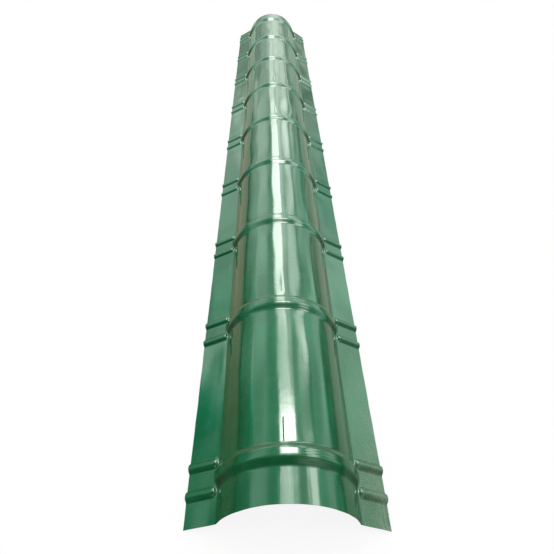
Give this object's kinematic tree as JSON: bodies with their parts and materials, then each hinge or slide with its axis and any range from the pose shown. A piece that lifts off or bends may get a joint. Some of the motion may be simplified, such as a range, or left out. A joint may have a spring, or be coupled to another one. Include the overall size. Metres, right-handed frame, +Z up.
{
  "type": "roof ridge cap",
  "caption": "Half-round roof ridge cap of pressed green coated steel sheet, with cross ribs and beaded sloping flanges.",
  "frame": {"origin": "middle of the cap in plan, on the ground that its flange edges stand on", "axes": "+X across the cap, +Y along the ridge away from the near end, +Z up"},
  "size_m": [0.2686, 2, 0.0913],
  "materials": {
    "green_coated_steel": "gloss"
  },
  "bodies": {
    "root": {"ridge_cap": "green_coated_steel"}
  },
  "joints": []
}
